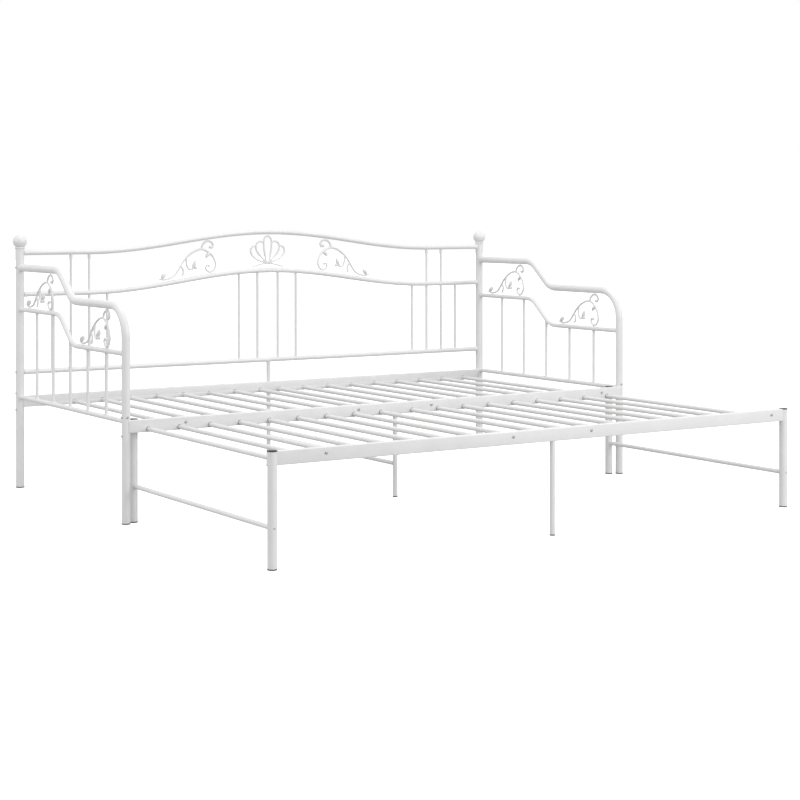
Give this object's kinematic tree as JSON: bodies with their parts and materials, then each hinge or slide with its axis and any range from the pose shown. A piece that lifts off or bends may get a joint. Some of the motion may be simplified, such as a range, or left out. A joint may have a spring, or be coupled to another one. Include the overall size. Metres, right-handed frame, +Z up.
{
  "type": "daybed",
  "caption": "Metal daybed with scrolled arms and back panel; a second slatted frame on legs slides out in front to make a double bed.",
  "frame": {"origin": "middle of the footprint on the floor, with the pull-out frame fully out", "axes": "+X along the bed to the right, +Y towards the back panel, +Z up"},
  "size_m": [2.1, 1.864, 0.9318],
  "materials": {
    "white_powder_coat": "smooth white powder coat, low gloss",
    "leg_cap_plastic": "matt black moulded plastic"
  },
  "bodies": {
    "daybed_frame": {"back_centre_strut": "white_powder_coat", "back_lower_rail": "white_powder_coat", "back_middle_rail": "white_powder_coat", "back_top_rail": "white_powder_coat", "centre_brace": "white_powder_coat", "front_rail": "white_powder_coat", "left_arm_front_scroll": "white_powder_coat", "left_arm_hoop": "white_powder_coat", "left_arm_middle_rail": "white_powder_coat", "left_arm_rear_scroll": "white_powder_coat", "left_arm_spindle_panel": "white_powder_coat", "left_back_scroll": "white_powder_coat", "left_back_spindle_1": "white_powder_coat", "left_back_spindle_2": "white_powder_coat", "left_back_spindle_3": "white_powder_coat", "left_back_spindle_4": "white_powder_coat", "left_ball_finial": "white_powder_coat", "left_centre_spindle_1": "white_powder_coat", "left_centre_spindle_2": "white_powder_coat", "left_main_slats": "white_powder_coat", "left_rear_post": "white_powder_coat", "left_upper_spindle_1": "white_powder_coat", "left_upper_spindle_2": "white_powder_coat", "middle_centre_leg": "white_powder_coat", "rear_centre_leg": "white_powder_coat", "rear_rail": "white_powder_coat", "right_arm_front_scroll": "white_powder_coat", "right_arm_hoop": "white_powder_coat", "right_arm_middle_rail": "white_powder_coat", "right_arm_rear_scroll": "white_powder_coat", "right_arm_spindle_panel": "white_powder_coat", "right_back_scroll": "white_powder_coat", "right_back_spindle_1": "white_powder_coat", "right_back_spindle_2": "white_powder_coat", "right_back_spindle_3": "white_powder_coat", "right_back_spindle_4": "white_powder_coat", "right_ball_finial": "white_powder_coat", "right_centre_spindle_1": "white_powder_coat", "right_centre_spindle_2": "white_powder_coat", "right_main_slats": "white_powder_coat", "right_rear_post": "white_powder_coat", "right_upper_spindle_1": "white_powder_coat", "right_upper_spindle_2": "white_powder_coat", "shell_ornament": "white_powder_coat"},
    "pull_out_frame": {"front_centre_leg": "white_powder_coat", "left_front_leg_cap": "leg_cap_plastic", "left_front_pull_out_leg": "white_powder_coat", "left_pull_out_slats": "white_powder_coat", "left_rear_leg_cap": "leg_cap_plastic", "left_rear_pull_out_leg": "white_powder_coat", "left_side_brace": "white_powder_coat", "pull_out_front_rail": "white_powder_coat", "pull_out_rear_rail": "white_powder_coat", "right_front_leg_cap": "leg_cap_plastic", "right_front_pull_out_leg": "white_powder_coat", "right_pull_out_slats": "white_powder_coat", "right_rear_leg_cap": "leg_cap_plastic", "right_rear_pull_out_leg": "white_powder_coat", "right_side_brace": "white_powder_coat"}
  },
  "joints": [
    {"name": "pull_out_slide", "type": "slide", "parent": "daybed_frame", "child": "pull_out_frame", "axis": [0, 1, 0], "range_m": [0, 0.87]}
  ]
}
